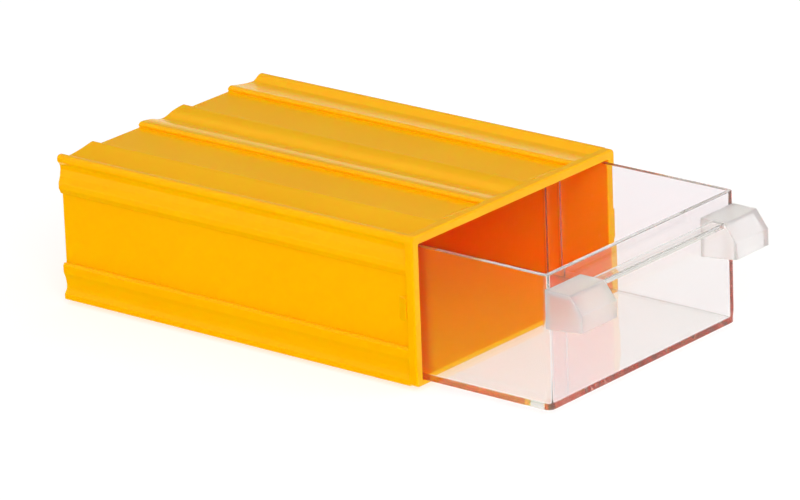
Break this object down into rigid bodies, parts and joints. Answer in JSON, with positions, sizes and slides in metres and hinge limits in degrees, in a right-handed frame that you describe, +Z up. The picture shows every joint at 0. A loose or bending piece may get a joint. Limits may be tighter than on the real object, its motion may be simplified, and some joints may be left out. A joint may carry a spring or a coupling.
{
  "type": "stackable drawer box",
  "caption": "Stackable small-parts drawer box: an opaque moulded casing with interlocking rails and grooves, and a clear drawer with a hooded bar handle.",
  "frame": {"origin": "on the plane that the bottom rails stand on, at the middle of the footprint with the drawer drawn 55.4 mm out (the side rail makes that middle 0.75 mm off the casing's own middle)", "axes": "+X to the right seen from the front, +Y from the drawer's handle towards the casing's back, +Z up"},
  "size_m": [0.1165, 0.2342, 0.0568],
  "materials": {
    "casing": "glossy",
    "drawer": "clear, polished"
  },
  "bodies": {
    "casing": {"casing": "casing"},
    "drawer": {"drawer": "drawer"}
  },
  "joints": [
    {"name": "drawer_slide", "type": "slide", "parent": "casing", "child": "drawer", "axis": [0, -1, 0], "range_m": [-0.0554, 0.081]}
  ]
}
